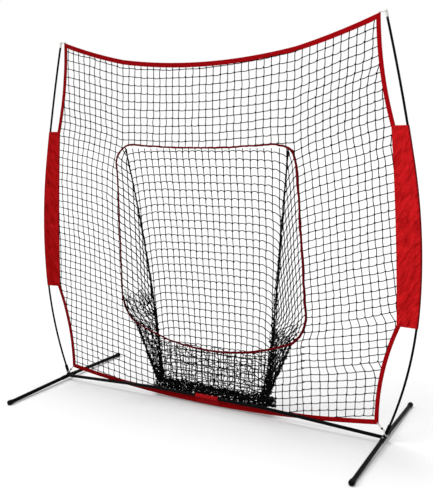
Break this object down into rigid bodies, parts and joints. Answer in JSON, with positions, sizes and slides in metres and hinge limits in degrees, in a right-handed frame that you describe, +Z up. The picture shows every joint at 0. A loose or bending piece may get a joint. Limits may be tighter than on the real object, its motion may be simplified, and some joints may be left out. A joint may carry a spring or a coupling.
{
  "type": "pitching target net",
  "caption": "Standing sports net on a steel base with bowed side rods, a bound strike-zone opening and a ball pocket hanging behind it.",
  "frame": {"origin": "on the ground, midway between the four feet, in the plane of the net", "axes": "+X along the crossbar to the right seen from the pitcher, +Y from the pitcher to the back, +Z up"},
  "size_m": [2.4282, 1.086, 2.1492],
  "materials": {
    "frame_paint": "black gloss powder coat on steel tube",
    "cap_rubber": "matt moulded black PVC",
    "button_steel": "zinc-plated steel",
    "spring_steel": "tempered spring strip",
    "fibreglass": "black pultruded fibreglass, satin",
    "ferrule_metal": "drawn tube",
    "tip_nylon": "white moulded nylon",
    "twine": "black knotted polyester twine",
    "band_webbing": "folded dark red webbing",
    "sleeve_cloth": "red woven polyester",
    "binding_webbing": "narrow red binding tape",
    "rope": "black braided cord",
    "strap_webbing": "red hook-and-loop strap",
    "elastic": "white braided elastic",
    "ball_plastic": "black moulded ball"
  },
  "bodies": {
    "root": {"left_hub": "frame_paint", "left_front_leg": "frame_paint", "left_front_leg_cap": "cap_rubber", "left_front_spring": "spring_steel", "left_back_leg": "frame_paint", "left_back_leg_cap": "cap_rubber", "left_back_spring": "spring_steel", "left_lower_rod": "fibreglass", "left_middle_rod": "fibreglass", "left_upper_rod": "fibreglass", "left_rod_ferrules": "ferrule_metal", "left_rod_tip": "tip_nylon", "left_crossbar": "frame_paint", "left_bar_spigot": "frame_paint", "left_bar_spring": "spring_steel", "left_upper_band": "band_webbing", "left_lower_band": "band_webbing", "left_wing_net": "twine", "left_sleeve": "sleeve_cloth", "pocket_left_net": "twine", "pocket_left_rope": "rope", "right_hub": "frame_paint", "right_front_leg": "frame_paint", "right_front_leg_cap": "cap_rubber", "right_front_spring": "spring_steel", "right_back_leg": "frame_paint", "right_back_leg_cap": "cap_rubber", "right_back_spring": "spring_steel", "right_lower_rod": "fibreglass", "right_middle_rod": "fibreglass", "right_upper_rod": "fibreglass", "right_rod_ferrules": "ferrule_metal", "right_rod_tip": "tip_nylon", "right_crossbar": "frame_paint", "right_bar_spigot": "frame_paint", "right_bar_spring": "spring_steel", "right_upper_band": "band_webbing", "right_lower_band": "band_webbing", "right_wing_net": "twine", "right_sleeve": "sleeve_cloth", "pocket_right_net": "twine", "pocket_right_rope": "rope", "middle_crossbar": "frame_paint", "top_band": "band_webbing", "bottom_band": "band_webbing", "upper_net": "twine", "lower_net": "twine", "strike_zone_binding": "binding_webbing", "pocket_back_net": "twine", "pocket_gather": "twine", "crossbar_strap": "strap_webbing", "upper_ties": "elastic", "lower_ties": "elastic", "tie_balls": "ball_plastic"},
    "left_front_button": {"left_front_button": "button_steel"},
    "left_back_button": {"left_back_button": "button_steel"},
    "left_bar_button": {"left_bar_button": "button_steel"},
    "right_front_button": {"right_front_button": "button_steel"},
    "right_back_button": {"right_back_button": "button_steel"},
    "right_bar_button": {"right_bar_button": "button_steel"}
  },
  "joints": [
    {"name": "left_front_button_press", "type": "slide", "parent": "root", "child": "left_front_button", "axis": [0, 0.0187, -0.9998], "range_m": [0, 0.0048], "stiffness_N_per_m": 1500, "deforming": ["left_front_spring"]},
    {"name": "left_back_button_press", "type": "slide", "parent": "root", "child": "left_back_button", "axis": [0, -0.0187, -0.9998], "range_m": [0, 0.0048], "stiffness_N_per_m": 1500, "deforming": ["left_back_spring"]},
    {"name": "left_bar_button_press", "type": "slide", "parent": "root", "child": "left_bar_button", "axis": [0.0498, 0, -0.9988], "range_m": [0, 0.0047], "stiffness_N_per_m": 1500, "deforming": ["left_bar_spring"]},
    {"name": "right_front_button_press", "type": "slide", "parent": "root", "child": "right_front_button", "axis": [0, 0.0187, -0.9998], "range_m": [0, 0.0048], "stiffness_N_per_m": 1500, "deforming": ["right_front_spring"]},
    {"name": "right_back_button_press", "type": "slide", "parent": "root", "child": "right_back_button", "axis": [0, -0.0187, -0.9998], "range_m": [0, 0.0048], "stiffness_N_per_m": 1500, "deforming": ["right_back_spring"]},
    {"name": "right_bar_button_press", "type": "slide", "parent": "root", "child": "right_bar_button", "axis": [-0.0498, 0, -0.9988], "range_m": [0, 0.0047], "stiffness_N_per_m": 1500, "deforming": ["right_bar_spring"]}
  ]
}
